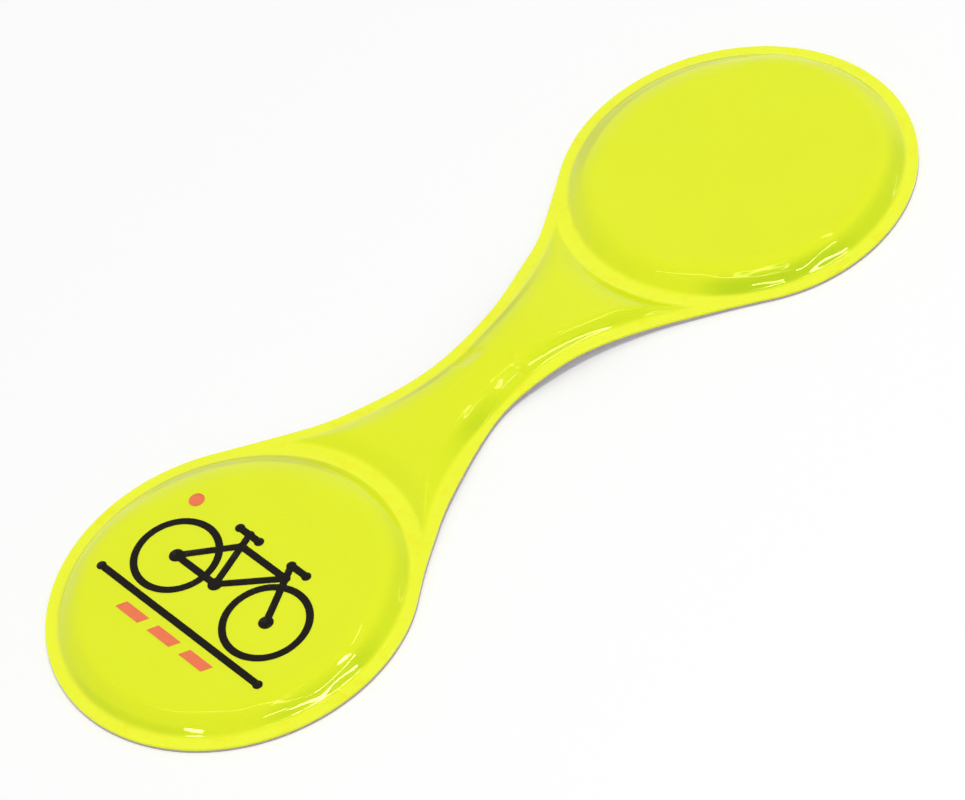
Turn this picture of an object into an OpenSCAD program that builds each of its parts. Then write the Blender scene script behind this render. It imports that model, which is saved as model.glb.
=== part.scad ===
// Reflector clip: two round lobes joined by a narrow waist, folded over an edge and held shut by
// magnets. A prismatic front film is embossed into cells and welded to a flat back film.
// The clip lies face up. X runs from the printed lobe to the plain lobe, and Z = 0 is the table.

/* [Outline] */
// Diameter of each round lobe
lobe_d = 44; // [36:0.5:50]
// Distance between the centres of the two lobes
lobe_spacing = 82; // [72:1:100]
// Width of the waist at its narrowest
waist_w = 12; // [10.5:0.5:18]
// Length of the straight flank between a lobe and the hollow beside the waist
flank_l = 10.5; // [5:0.5:12]

/* [Films] */
// Thickness of the flat back film
back_film_t = 0.3; // [0.2:0.05:0.5]
// Thickness of the front film over the cells
front_film_t = 0.5; // [0.4:0.05:0.7]
// Thickness left of the front film where a weld has pressed it
weld_film_t = 0.4; // [0.25:0.05:0.5]

/* [Welds] */
// Width of the welded rim along the outline
rim_w = 1.4; // [1:0.1:2.2]
// Width of the welded arc between a lobe's cell and the waist's cell
arc_weld_w = 1.8; // [1.2:0.1:2.6]

/* [Magnets] */
// Diameter of each disc magnet
magnet_d = 18; // [10:0.5:24]
// Thickness of each disc magnet
magnet_t = 1.5; // [1.2:0.1:2.2]
// Bevel on the edges of a magnet
magnet_bevel = 0.2; // [0.1:0.05:0.4]
// Free height between a magnet and the film over it
magnet_headroom = 0.4; // [0.2:0.1:0.8]

/* [Cells] */
// Width of the rounded shoulder round a lobe's cell, seen from above
lobe_shoulder_w = 3.4; // [3:0.1:4.5]
// Height of the waist's cell above the rim
waist_cell_h = 1.2; // [0.8:0.1:1.8]
// Width of the rounded shoulder of the waist's cell, seen from above
waist_shoulder_w = 2; // [1.9:0.1:2.6]
// Slope of every shoulder where it meets the level top of its cell
crest_slope = 10; // [6:1:16]

/* [Fold pinches] */
// Radius of the groove that folding presses into each side of the waist
pinch_r = 2.4; // [1.5:0.1:4]
// How far the groove runs in from the edge of the waist's cell
pinch_reach = 3.2; // [2.4:0.1:4]
// How far the groove is pressed flat to the rim
pinch_flat = 1.2; // [0.6:0.1:1.8]

/* [Print] */
// Thickness of the ink
ink_t = 0.06; // [0.04:0.01:0.12]
// Width of the printed lines
line_w = 0.9; // [0.6:0.05:1.2]
// How much wider than the printed lines their round ends and joints are
joint_extra = 0.3; // [0.2:0.05:0.5]
// Outer diameter of the printed wheels
wheel_d = 11; // [8:0.1:12]
// Distance between the hubs of the printed wheels
wheelbase = 16; // [14:0.1:18]
// Diameter of the printed hubs
hub_d = 1.8; // [1:0.1:2.6]
// Height of the hubs above the lobe's centre, towards the waist
hub_v = -1.2; // [-2:0.1:1]
// Distance of the printed crank behind the middle of the bicycle
crank_back = 1; // [0:0.1:2]
// Distance of the seat tube's top behind the crank
seat_lean = 1.8; // [1:0.1:2.6]
// Height of the printed top tube above the hubs
frame_h = 5.6; // [4.5:0.1:7]
// Distance of the head tube's top behind the front hub
head_lean = 3; // [2:0.1:4]
// Height of the saddle and the handlebar above the top tube
saddle_rise = 1.7; // [1.2:0.1:2.4]
// Length of the printed saddle
saddle_l = 3.4; // [2:0.1:4.5]
// Length of the printed handlebar
handlebar_l = 2.6; // [1.5:0.1:3.5]
// Length of the printed ground line
ground_l = 28; // [20:0.5:29]
// Gap between the wheels and the ground line
ground_gap = 0.5; // [0.3:0.1:1]
// Number of printed road dashes
dash_count = 3; // [1:1:4]
// Length of a printed road dash
dash_l = 4.6; // [3:0.1:5]
// Width of a printed road dash
dash_w = 1.3; // [0.8:0.1:1.6]
// Gap between the road dashes, and between them and the ground line
dash_gap = 1.1; // [0.6:0.1:1.6]
// Diameter of the printed rear lamp
lamp_d = 1.9; // [1:0.1:2.4]
// Gap between the rear lamp and the line that carries it
lamp_gap = 0.5; // [0.3:0.1:1]

/* [Hidden] */
$fn = 96;

// The flanks' corners lie this far inside the lobes, so that no sliver is left between the two
tuck = 0.001;
lobe_r = lobe_d / 2;
lobe_x = lobe_spacing / 2;
rim_top_z = back_film_t + weld_film_t;
lobe_top_z = back_film_t + magnet_t + magnet_headroom + front_film_t;
waist_top_z = rim_top_z + waist_cell_h;

// Each hollow beside the waist is as large as lets its straight flanks, of the given length, run
// tangent to it and to the lobes. Seen from a lobe's centre, they touch the lobe at this angle.
hollow_r = (pow(lobe_x, 2) + pow(waist_w / 2, 2) - pow(lobe_r, 2) - pow(flank_l, 2)) / (lobe_d - waist_w);
hollow_y = waist_w / 2 + hollow_r;
touch_angle = atan2(hollow_y, -lobe_x) - atan(flank_l / (lobe_r + hollow_r));
lobe_touch = [lobe_x, 0] + (lobe_r - tuck) * [cos(touch_angle), sin(touch_angle)];
hollow_touch = [-hollow_r * cos(touch_angle), hollow_y - hollow_r * sin(touch_angle)];

// The welds end and the cells begin at these radii, from the centres of the lobes and the hollows
lobe_cell_r = lobe_r - rim_w;
arc_weld_r = lobe_cell_r + arc_weld_w;
hollow_weld_r = hollow_r + rim_w;
// Where a lobe and a hollow lie closest: the horns of the waist's cell end short of it
horn_x = lobe_x * (1 - lobe_r / norm([lobe_x, hollow_y]));

// Outline that both films share
module outline() {
    for (side = [-1, 1]) translate([side * lobe_x, 0]) circle(lobe_r);
    difference() {
        polygon([
            lobe_touch, hollow_touch,
            [-hollow_touch.x, hollow_touch.y], [-lobe_touch.x, lobe_touch.y],
            -lobe_touch, -hollow_touch,
            [hollow_touch.x, -hollow_touch.y], [lobe_touch.x, -lobe_touch.y]
        ]);
        for (side = [-1, 1]) translate([0, side * hollow_y]) circle(hollow_r, $fn = 180);
    }
}

// Half section of a cell before its top is trimmed level at top_z. It stands on the back film, its
// round shoulder ends on the rim beyond crest_r, and past the shoulder it goes on tall to far_r.
// It lies inset below the outer skin.
module cell_section(crest_r, far_r, top_z, shoulder_w, inset) {
    height = top_z - rim_top_z;
    foot_slope = 2 * atan(height / shoulder_w) - crest_slope;
    radius = height / (cos(crest_slope) - cos(foot_slope));
    axis_r = crest_r + sign(far_r - crest_r) * radius * sin(crest_slope);
    low_r = max(min(axis_r, far_r) - radius, 0);
    intersection() {
        translate([low_r, back_film_t]) square([max(axis_r, far_r) + radius - low_r, 2 * top_z]);
        union() {
            translate([axis_r, top_z - radius * cos(crest_slope)]) circle(radius - inset);
            translate([min(axis_r, far_r), 0]) square([abs(far_r - axis_r), 2 * top_z]);
        }
    }
}

// Pillow of one lobe
module lobe_cell(inset) {
    intersection() {
        translate([0, 0, back_film_t]) cylinder(r = lobe_r, h = lobe_top_z - inset - back_film_t);
        rotate_extrude()
            cell_section(lobe_cell_r - lobe_shoulder_w, 0, lobe_top_z, lobe_shoulder_w, inset);
    }
}

// Space that stays clear of a round weld of radius weld_r and rises from it past the waist's top
module clear_of_weld(weld_r, far_r, inset) {
    rotate_extrude($fn = 180)
        cell_section(weld_r + waist_shoulder_w, far_r, waist_top_z, waist_shoulder_w, inset);
}

// Groove pressed down to the rim at the side of the waist's cell, and running out on its top
module pinch(inset) {
    slope = atan(waist_cell_h / (pinch_reach - pinch_flat));
    translate([0, waist_w / 2 - rim_w - pinch_flat, rim_top_z])
        rotate([-slope, 0, 0]) translate([0, 0, pinch_r]) rotate([90, 0, 0])
            cylinder(r = pinch_r + inset, h = 2 * waist_w, center = true);
}

// Hourglass cell between the two arc welds and the rims along the hollows
module waist_cell(inset) {
    difference() {
        intersection() {
            translate([-horn_x, -lobe_r, back_film_t])
                cube([2 * horn_x, lobe_d, waist_top_z - inset - back_film_t]);
            translate([0, hollow_y, 0]) clear_of_weld(hollow_weld_r, hollow_y + lobe_d, inset);
            translate([0, -hollow_y, 0]) clear_of_weld(hollow_weld_r, hollow_y + lobe_d, inset);
            translate([lobe_x, 0, 0]) clear_of_weld(arc_weld_r, lobe_spacing, inset);
            translate([-lobe_x, 0, 0]) clear_of_weld(arc_weld_r, lobe_spacing, inset);
        }
        pinch(inset);
        mirror([0, 1, 0]) pinch(inset);
    }
}

// Both lobes' pillows and the waist's cell
module cells(inset) {
    for (side = [-1, 1]) translate([side * lobe_x, 0, 0]) lobe_cell(inset);
    waist_cell(inset);
}

module back_film() {
    color([0.62, 0.6, 0.62]) linear_extrude(back_film_t) outline();
}

module front_film() {
    color([0.88, 0.94, 0.2]) difference() {
        union() {
            translate([0, 0, back_film_t]) linear_extrude(weld_film_t) outline();
            cells(0);
        }
        cells(front_film_t);
    }
}

// Disc magnet with bevelled edges, lying on the back film
module magnet() {
    r = magnet_d / 2;
    color([0.75, 0.76, 0.78]) translate([0, 0, back_film_t]) rotate_extrude()
        polygon([
            [0, 0], [r - magnet_bevel, 0], [r, magnet_bevel],
            [r, magnet_t - magnet_bevel], [r - magnet_bevel, magnet_t], [0, magnet_t]
        ]);
}

module magnet_printed_end() {
    translate([-lobe_x, 0, 0]) magnet();
}

module magnet_plain_end() {
    translate([lobe_x, 0, 0]) magnet();
}

// Printed line from point a to point b, with a round joint at each end
module stroke(a, b) {
    step = b - a;
    translate(a) rotate(atan2(step.y, step.x)) translate([0, -line_w / 2]) square([norm(step), line_w]);
    for (end = [a, b]) translate(end) circle(d = line_w + joint_extra);
}

// Lays flat ink on the printed lobe, to be read with the waist at the top
module on_printed_lobe() {
    translate([-lobe_x, 0, lobe_top_z]) rotate(-90) linear_extrude(ink_t) children();
}

ground_v = hub_v - wheel_d / 2 - ground_gap - line_w / 2;
rear_hub = [-wheelbase / 2, hub_v];
front_hub = [wheelbase / 2, hub_v];
crank = [-crank_back, hub_v];
seat_top = crank + [-seat_lean, frame_h];
head_top = front_hub + [-head_lean, frame_h];

// Bicycle in side view, standing on a ground line
module bicycle() {
    for (hub = [rear_hub, front_hub]) translate(hub) {
        difference() {
            circle(d = wheel_d);
            circle(d = wheel_d - 2 * line_w);
        }
        circle(d = hub_d);
    }
    translate(crank) circle(d = hub_d);
    stroke(rear_hub, crank);
    stroke(rear_hub, seat_top);
    stroke(crank, head_top);
    stroke(seat_top, head_top);

    // Seat tube and post, and the saddle on them
    saddle = seat_top + saddle_rise / frame_h * (seat_top - crank);
    stroke(crank, saddle);
    stroke(saddle - [saddle_l / 2, 0], saddle + [saddle_l / 2, 0]);

    // Fork and stem, and the handlebar on them
    grip = head_top + saddle_rise / frame_h * (head_top - front_hub);
    stroke(front_hub, grip);
    stroke(grip, grip + [handlebar_l, 0]);

    stroke([-ground_l / 2, ground_v], [ground_l / 2, ground_v]);
}

// Slanted dashes under the ground line
module road_dashes() {
    pitch = dash_l + dash_gap;
    top_v = ground_v - line_w / 2 - dash_gap;
    for (i = [0 : dash_count - 1])
        translate([(i - (dash_count - 1) / 2) * pitch - dash_l / 2, top_v - dash_w])
            polygon([[0, 0], [dash_l - dash_w / 2, 0], [dash_l, dash_w], [dash_w / 2, dash_w]]);
}

module print_black() {
    color([0.08, 0.07, 0.06]) on_printed_lobe() bicycle();
}

module print_coral() {
    lamp_u = rear_hub.x - wheel_d / 2 + lamp_d / 2;
    lamp_v = hub_v + wheel_d / 2 + lamp_gap + lamp_d / 2;
    color([1, 0.49, 0.37]) on_printed_lobe() {
        road_dashes();
        translate([lamp_u, lamp_v]) circle(d = lamp_d);
    }
}

back_film();
front_film();
magnet_printed_end();
magnet_plain_end();
print_black();
print_coral();
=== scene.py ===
"""Magnetic reflector clip, lying open and face up on a pale floor.

The clip is two films welded together. The front film is fluorescent, clear on top and prismatic
below, and is embossed into two round pillows and an hourglass cell between them. The back film is
flat and grey. Both bow up a little under the waist. A bicycle is printed on one lobe.
"""

import logging
import math
from dataclasses import dataclass, field
from enum import Enum
from typing import Callable, Optional, Sequence, Union

import bpy
import numpy as np
from mathutils import Matrix, Vector


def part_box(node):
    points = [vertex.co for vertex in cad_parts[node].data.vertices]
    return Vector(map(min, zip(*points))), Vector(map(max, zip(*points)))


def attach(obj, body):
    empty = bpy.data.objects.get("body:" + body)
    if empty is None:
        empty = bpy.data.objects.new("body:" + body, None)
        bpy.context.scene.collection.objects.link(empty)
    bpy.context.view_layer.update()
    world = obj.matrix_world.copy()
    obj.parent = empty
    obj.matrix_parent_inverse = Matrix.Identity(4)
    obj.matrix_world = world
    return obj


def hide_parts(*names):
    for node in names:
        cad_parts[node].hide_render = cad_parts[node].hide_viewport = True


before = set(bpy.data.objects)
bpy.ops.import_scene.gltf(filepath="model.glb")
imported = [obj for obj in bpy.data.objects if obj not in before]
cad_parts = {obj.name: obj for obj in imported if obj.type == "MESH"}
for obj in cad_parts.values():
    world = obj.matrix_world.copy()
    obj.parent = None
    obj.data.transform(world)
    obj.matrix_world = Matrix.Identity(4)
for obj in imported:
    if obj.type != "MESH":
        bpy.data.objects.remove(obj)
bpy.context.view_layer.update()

log = logging.getLogger("clip")

MM = 0.001
MERGE = 0.002 * MM
SHARP_EDGE = math.radians(60)
SMOOTH_EDGE = math.radians(38)
WHITE = (1.0, 1.0, 1.0)
Colour = tuple[float, float, float]
Array = np.ndarray
Piece = bpy.types.Object
Material = bpy.types.Material


class Slot(Enum):
    """Material slots of the record."""

    YELLOW_FILM = "yellow_film"
    GREY_FILM = "grey_film"
    MAGNET = "magnet_plating"
    BLACK_INK = "black_ink"
    CORAL_INK = "coral_ink"


class Duty(Enum):
    """What a studio lamp is for."""

    LIGHT = "light"
    GLOSS = "gloss"


class Side(Enum):
    """The two ends of the clip, by the sign of X."""

    PRINTED = -1
    PLAIN = 1

    def holds(self, x: Array) -> Array:
        """Return whether points at x are on this half of the clip."""
        return x * self.value > 0


def mm(*values: float) -> tuple[float, ...]:
    """Return lengths in metres from lengths in millimetres."""
    return tuple(value * MM for value in values)


def smoothstep(value: Array, low: float, high: float) -> Array:
    """Return 0 below low, 1 above high and a smooth ramp between them.

    Args:
        value: Values to place on the ramp.
        low: Value where it leaves 0.
        high: Value where it reaches 1.

    Returns:
        The ramp.
    """
    t = np.clip((value - low) / (high - low), 0, 1)
    return t * t * (3 - 2 * t)


def smooth_min(a: Array, b: Array, soft: float) -> Array:
    """Return the smaller of two values, rounded over where they are within soft of each other."""
    h = np.clip(0.5 + 0.5 * (b - a) / soft, 0, 1)
    return b + (a - b) * h - soft * h * (1 - h)


def bell(value: Array, centre: float, spread: float) -> Array:
    """Return a bell curve of height 1."""
    return np.exp(-(((value - centre) / spread) ** 2))


def ridges(out: Array, wave: float, width: float) -> Array:
    """Return a group of ridges a wave apart, from -1 to 1, highest where out is 0."""
    return np.cos(2 * math.pi * out / wave) * bell(out, 0, width)


def mirrored_lines(*runs: tuple[float, float, int]) -> Array:
    """Return lines in evenly spaced runs from 0 to 1, and the same below 0.

    Args:
        runs: Start, end and number of lines of each run, the first from 0.

    Returns:
        Places of the lines, in order.
    """
    half = np.concatenate([np.linspace(low, high, count)[int(low > 0):] for low, high, count in runs])
    return np.concatenate([-half[:0:-1], half])


# Distances across the clip between which the waist's far wall grows gentler
FAR_RUN = mm(0, 2)

# Distances in from a weld between which the marks in a film grow to their full height or depth
FOOT = mm(-0.1, 0.15)
FURROW_RUN = mm(0, 1)
RIPPLE_RUN = mm(0, 0.8)
CREASE_RUN = mm(-0.2, 0.4)
SWELL_RUN = mm(0, 4)

# Mesh lines round a lobe, as distances in from the edge of its cell: rim, wall, crest, level top
FRONT_RINGS = np.concatenate([
    [-1.3, -0.8],
    np.linspace(-0.3, 3.3, 28),
    [3.5, 3.75, 4.0, 4.3, 4.6, 4.95, 5.3, 5.7, 6.1, 6.6, 7.2],
    [8.2, 9.5, 11, 13, 15.5, 18.5],
]) * MM
BACK_RINGS = np.array([-1.3, -0.2, 0, 0.25, 1, 2.5, 5, 8, 12, 16]) * MM

# Mesh lines across the waist, as shares of its half length: fold, middle, shoulder
FRONT_COLUMNS = mirrored_lines((0, 0.24, 36), (0.24, 0.82, 40), (0.82, 1, 16))
BACK_COLUMNS = mirrored_lines((0, 1, 31))


@dataclass(frozen=True)
class ClipPlan:
    """Outline, welds and cells of the clip, seen from above.

    Attributes:
        lobe_r: Radius of a lobe.
        lobe_x: Distance of a lobe's centre from the middle of the clip.
        waist_w: Width of the waist at its narrowest.
        flank_l: Length of the straight flank between a lobe and a hollow.
        rim_w: Width of the welded rim.
        arc_weld_w: Width of the weld between a lobe's cell and the waist's cell.
    """

    lobe_r: float
    lobe_x: float
    waist_w: float = 12 * MM
    flank_l: float = 10.5 * MM
    rim_w: float = 1.4 * MM
    arc_weld_w: float = 1.8 * MM

    @property
    def cell_r(self) -> float:
        """Radius of a lobe's cell."""
        return self.lobe_r - self.rim_w

    @property
    def arc_r(self) -> float:
        """Radius at which the waist's cell begins, from a lobe's centre."""
        return self.cell_r + self.arc_weld_w

    @property
    def hollow_r(self) -> float:
        """Radius of the hollow beside the waist."""
        squares = self.lobe_x**2 + (self.waist_w / 2) ** 2 - self.lobe_r**2 - self.flank_l**2
        return squares / (2 * self.lobe_r - self.waist_w)

    @property
    def hollow_y(self) -> float:
        """Distance of a hollow's centre from the long axis."""
        return self.waist_w / 2 + self.hollow_r

    @property
    def touch(self) -> float:
        """Angle at which a flank touches its lobe, from the lobe's centre."""
        lean = math.atan(self.flank_l / (self.lobe_r + self.hollow_r))
        return math.atan2(self.hollow_y, -self.lobe_x) - lean

    def edge_y(self, x: Array, inset: float) -> Array:
        """Return the half width of the waist at x, along a line inset from the outline.

        Args:
            x: Places along the clip.
            inset: Distance of the line from the outline.

        Returns:
            Distances from the long axis.
        """
        radius = self.hollow_r + inset
        far_x = -radius * math.cos(self.touch)
        far_y = self.hollow_y - radius * math.sin(self.touch)
        slope = -math.cos(self.touch) / math.sin(self.touch)
        across = np.abs(x)
        hollow = self.hollow_y - np.sqrt(radius**2 - np.minimum(across, far_x) ** 2)
        return np.where(across < far_x, hollow, far_y + slope * (across - far_x))

    def inset_of(self, x: Array, y: Array) -> Array:
        """Return how far points of the waist lie inside the outline.

        Args:
            x: Places along the clip.
            y: Places across the clip.

        Returns:
            Distances, less than 0 outside.
        """
        across, up = np.abs(x), np.abs(y)
        sine, cosine = math.sin(self.touch), math.cos(self.touch)
        along = -(across - self.lobe_x) * sine + up * cosine
        from_flank = self.lobe_r - (across - self.lobe_x) * cosine - up * sine
        from_hollow = np.hypot(across, up - self.hollow_y) - self.hollow_r
        return np.where(along < self.flank_l, from_flank, from_hollow)

    def from_lobe(self, x: Array, y: Array) -> Array:
        """Return the distance of points from the centre of the nearer lobe."""
        return np.hypot(np.abs(x) - self.lobe_x, y)

    def in_lobe(self, x: Array, y: Array) -> Array:
        """Return how far points lie inside the cell of the nearer lobe."""
        return self.cell_r - self.from_lobe(x, y)

    def in_waist(self, x: Array, y: Array) -> Array:
        """Return how far points lie inside the waist's cell."""
        return np.minimum(self.inset_of(x, y) - self.rim_w, self.from_lobe(x, y) - self.arc_r)

    def in_cell(self, x: Array, y: Array) -> Array:
        """Return how far points lie inside the nearest cell, less than 0 on the welds."""
        return np.maximum(self.in_lobe(x, y), self.in_waist(x, y))

    def lobe_angles(self, outer: int, flank: int, rim: int, cell: int) -> Array:
        """Return the angles of a lobe's mesh lines, from the middle of its outer end round.

        They meet the flank's touch, the outline's crossing with the arc weld and the tip of the
        waist's cell exactly.

        Args:
            outer: Number of steps along each outer quarter, up to the flank's touch.
            flank: Number of steps along each flank.
            rim: Number of steps over the end of each rim of the waist.
            cell: Number of steps over half the end of the waist's cell.

        Returns:
            Angles from 0 to a full turn, without the last.
        """
        insets = np.linspace(0, self.rim_w, rim + 1)
        crossing = self.touch + np.arccos((self.lobe_r - insets) / self.arc_r)
        half = np.concatenate([
            np.linspace(0, self.touch, outer + 1)[:-1],
            np.linspace(self.touch, crossing[0], flank + 1)[:-1],
            crossing[:-1],
            np.linspace(crossing[-1], math.pi, cell + 1)[:-1],
        ])
        return np.concatenate([half, [math.pi], 2 * math.pi - half[:0:-1]])

    def lobe_edge(self, angle: Array) -> Array:
        """Return the radius at which a lobe's mesh ends: the outline, or the waist's cell.

        Args:
            angle: Angles round the lobe, from the middle of its outer end.

        Returns:
            Radii.
        """
        off = np.abs(np.where(angle > math.pi, 2 * math.pi - angle, angle)) - self.touch
        flank = self.lobe_r / np.cos(np.clip(off, 0, None))
        return np.minimum(np.where(off > 0, flank, self.lobe_r), self.arc_r)


@dataclass(frozen=True)
class Shoulder:
    """Wall that rises from a weld, with a round foot and a round crest to the top of a cell.

    Attributes:
        height: Height of the cell's top above the weld.
        steep: Rise of the wall over its run.
        crest: Height over which the crest is rounded.
        foot: Height over which the foot is rounded.
    """

    height: float
    steep: float
    crest: float
    foot: float = 0.14 * MM

    def rise(self, inside: Array) -> Array:
        """Return the height above the weld at a distance inside the weld's edge."""
        wall = smooth_min(inside * self.steep, np.full_like(inside, self.height), self.crest)
        return 0.5 * (wall + np.sqrt(wall**2 + self.foot**2))


@dataclass(frozen=True)
class Pinch:
    """Flat spot that folding has pressed into a side of the waist's cell.

    Attributes:
        side: Sign of Y of its side.
        centre: Place of its middle along the clip, at the rim.
        half_length: Half its length along the rim.
        reach: How far it runs into the cell.
        lean: How far its inner end is shifted along the clip.
        soft: Width of its walls.
        depth: Share of the cell's height that it takes away.
    """

    side: int
    centre: float
    half_length: float
    reach: float
    lean: float
    soft: float
    depth: float

    def press(self, x: Array, y: Array, inside: Array) -> Array:
        """Return how far the cell is pressed down, from 0 to 1.

        Args:
            x: Places along the clip.
            y: Places across the clip.
            inside: Distances in from the edge of the waist's cell.

        Returns:
            Shares of the cell's height.
        """
        run = np.clip(inside / self.reach, 0, 1)
        off = np.abs(x - self.centre - self.lean * run)
        across = 1 - smoothstep(off, self.half_length - self.soft, self.half_length + 0.3 * self.soft)
        return np.where(y * self.side > 0, self.depth * across * (1 - smoothstep(run, 0.1, 1.0)), 0)


@dataclass(frozen=True)
class LobeArc:
    """Part of the turn round a lobe.

    Attributes:
        side: Lobe that it is on.
        angle: Middle of its turn, in degrees from +X.
        spread: Half its turn, in degrees.
    """

    side: Side
    angle: float
    spread: float

    def turn(self, x: Array, y: Array, plan: ClipPlan) -> Array:
        """Return how far points are turned away from its middle, in degrees."""
        turn = np.degrees(np.arctan2(y, x - self.side.value * plan.lobe_x)) - self.angle
        return np.abs((turn + 180) % 360 - 180)


@dataclass(frozen=True)
class Ripple(LobeArc):
    """Low ridges that run round a lobe for a part of its turn.

    Attributes:
        radius: Distance of the highest ridge from the lobe's centre.
        width: Half the width of the whole group of ridges.
        wave: Distance from ridge to ridge.
        height: Height of the highest ridge.
    """

    radius: float
    width: float
    wave: float
    height: float

    def rise(self, x: Array, y: Array, plan: ClipPlan) -> Array:
        """Return the height of the ridges at points of the clip."""
        rise = self.height * ridges(plan.from_lobe(x, y) - self.radius, self.wave, self.width)
        return rise * bell(self.turn(x, y, plan), 0, self.spread) * self.side.holds(x)


@dataclass(frozen=True)
class Band(LobeArc):
    """Part of a lobe's shoulder whose colour is painted darker: painted shade.

    Attributes:
        width: Distance in from the cell's edge at which it has run out.
        soft: Share of the width over which it runs out.
        depth: How much it shows, from 0 to 1.
    """

    width: float
    soft: float
    depth: float

    def share(self, x: Array, y: Array, plan: ClipPlan) -> Array:
        """Return how much it shows at points of the clip, from 0 to 1.

        Args:
            x: Places along the clip.
            y: Places across the clip.
            plan: The clip's plan.

        Returns:
            Shares.
        """
        turn = self.turn(x, y, plan)
        inside = plan.in_lobe(x, y)
        width = self.width * (1 - 0.25 * (turn / self.spread) ** 2)
        band = smoothstep(inside, *FOOT) * (1 - smoothstep(inside / width, 1 - self.soft, 1))
        ends = 1 - smoothstep(turn, 0.45 * self.spread, self.spread)
        return self.depth * band * ends * self.side.holds(x)


@dataclass(frozen=True)
class Slack(LobeArc):
    """Part of a lobe's shoulder where the film is slack and rises more gently.

    Attributes:
        ease: Share by which the wall is gentler.
    """

    ease: float

    def share(self, x: Array, y: Array, plan: ClipPlan) -> Array:
        """Return the share by which the wall is gentler at points of the clip."""
        ends = 1 - smoothstep(self.turn(x, y, plan), 0.5 * self.spread, self.spread)
        return self.ease * ends * self.side.holds(x)


@dataclass(frozen=True)
class Puckers:
    """Uneven stretch of a lobe's shoulder, round its whole turn.

    Attributes:
        side: Lobe that they are on.
        radius: Distance of their middle from the lobe's centre.
        width: Half their width.
        height: Height of the largest.
        shift: Turn of the pattern, in degrees.
        waves: Number round the lobe, share and phase of each wave of the pattern.
    """

    side: Side
    radius: float
    width: float
    height: float
    shift: float
    waves: Sequence[tuple[int, float, float]] = ((5, 1, 0), (11, 1, 1.0), (19, 0.8, 2.6), (31, 0.5, 0))

    def rise(self, x: Array, y: Array, plan: ClipPlan) -> Array:
        """Return the height of the puckers at points of the clip.

        Args:
            x: Places along the clip.
            y: Places across the clip.
            plan: The clip's plan.

        Returns:
            Heights.
        """
        turn = np.arctan2(y, x - self.side.value * plan.lobe_x) + math.radians(self.shift)
        pattern = sum(share * np.cos(number * turn + phase) for number, share, phase in self.waves)
        out = plan.from_lobe(x, y) - self.radius
        return 0.4 * self.height * pattern * bell(out, 0, self.width) * self.side.holds(x)


@dataclass(frozen=True)
class RimPart:
    """Part of one edge of the waist.

    Attributes:
        side: Sign of Y of the edge.
        x: Place of its middle along the clip.
        spread: Its spread along the clip.
    """

    side: int
    x: float
    spread: float

    def along(self, x: Array) -> Array:
        """Return 1 at its middle, falling to 0 along the clip."""
        return bell(x, self.x, self.spread)


@dataclass(frozen=True)
class Furrows(RimPart):
    """Fine ridges that run along a side of the waist.

    Attributes:
        inset: Distance of the highest ridge from the outline.
        width: Half the width of the whole group.
        wave: Distance from ridge to ridge.
        height: Height of the highest ridge.
    """

    inset: float
    width: float
    wave: float
    height: float

    def rise(self, x: Array, y: Array, inset: Array) -> Array:
        """Return the height of the ridges at points of the waist."""
        rise = self.height * ridges(inset - self.inset, self.wave, self.width)
        return rise * self.along(x) * (y * self.side > 0)


@dataclass(frozen=True)
class Stretch(RimPart):
    """Small stretch of one edge of the waist, left by folding.

    Attributes:
        amount: Distance that the edge has moved outward.
    """

    amount: float

    def move(self, x: Array, y: Array, half_width: Array) -> Array:
        """Return how far points of the waist move along Y."""
        share = np.clip(y * self.side / half_width, 0, 1)
        return self.side * self.amount * share * self.along(x)


@dataclass(frozen=True)
class RimBand(RimPart):
    """Part of the waist's shoulder whose colour is painted darker: painted shade.

    Attributes:
        foot: Distance in from the rim at which it shows in full.
        full: Distance in from the rim at which it begins to run out.
        end: Distance in from the rim at which it has run out.
        depth: How much it shows, from 0 to 1.
    """

    foot: float
    full: float
    end: float
    depth: float

    def share(self, x: Array, y: Array, plan: ClipPlan) -> Array:
        """Return how much it shows at points of the clip, from 0 to 1.

        Args:
            x: Places along the clip.
            y: Places across the clip.
            plan: The clip's plan.

        Returns:
            Shares.
        """
        inside = plan.in_waist(x, y)
        band = smoothstep(inside, FOOT[0], self.foot) * (1 - smoothstep(inside, self.full, self.end))
        return self.depth * band * self.along(x) * (y * self.side > 0)


@dataclass(frozen=True)
class Crease:
    """Short sharp ridge or furrow that handling has left in the film.

    Attributes:
        start: Place of one end, along and across the clip.
        end: Place of the other end.
        height: Height of the ridge, or depth of the furrow below zero.
        width: Half its width.
    """

    start: tuple[float, float]
    end: tuple[float, float]
    height: float
    width: float

    def rise(self, x: Array, y: Array) -> Array:
        """Return the height of the crease at points of the clip.

        Args:
            x: Places along the clip.
            y: Places across the clip.

        Returns:
            Heights.
        """
        along = np.array(self.end) - np.array(self.start)
        length = float(np.hypot(*along))
        unit = along / length
        from_x, from_y = x - self.start[0], y - self.start[1]
        run = (from_x * unit[0] + from_y * unit[1]) / length
        out = from_y * unit[0] - from_x * unit[1]
        return self.height * bell(out, 0, self.width) * bell(run, 0.5, 0.4) ** 2


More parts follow.
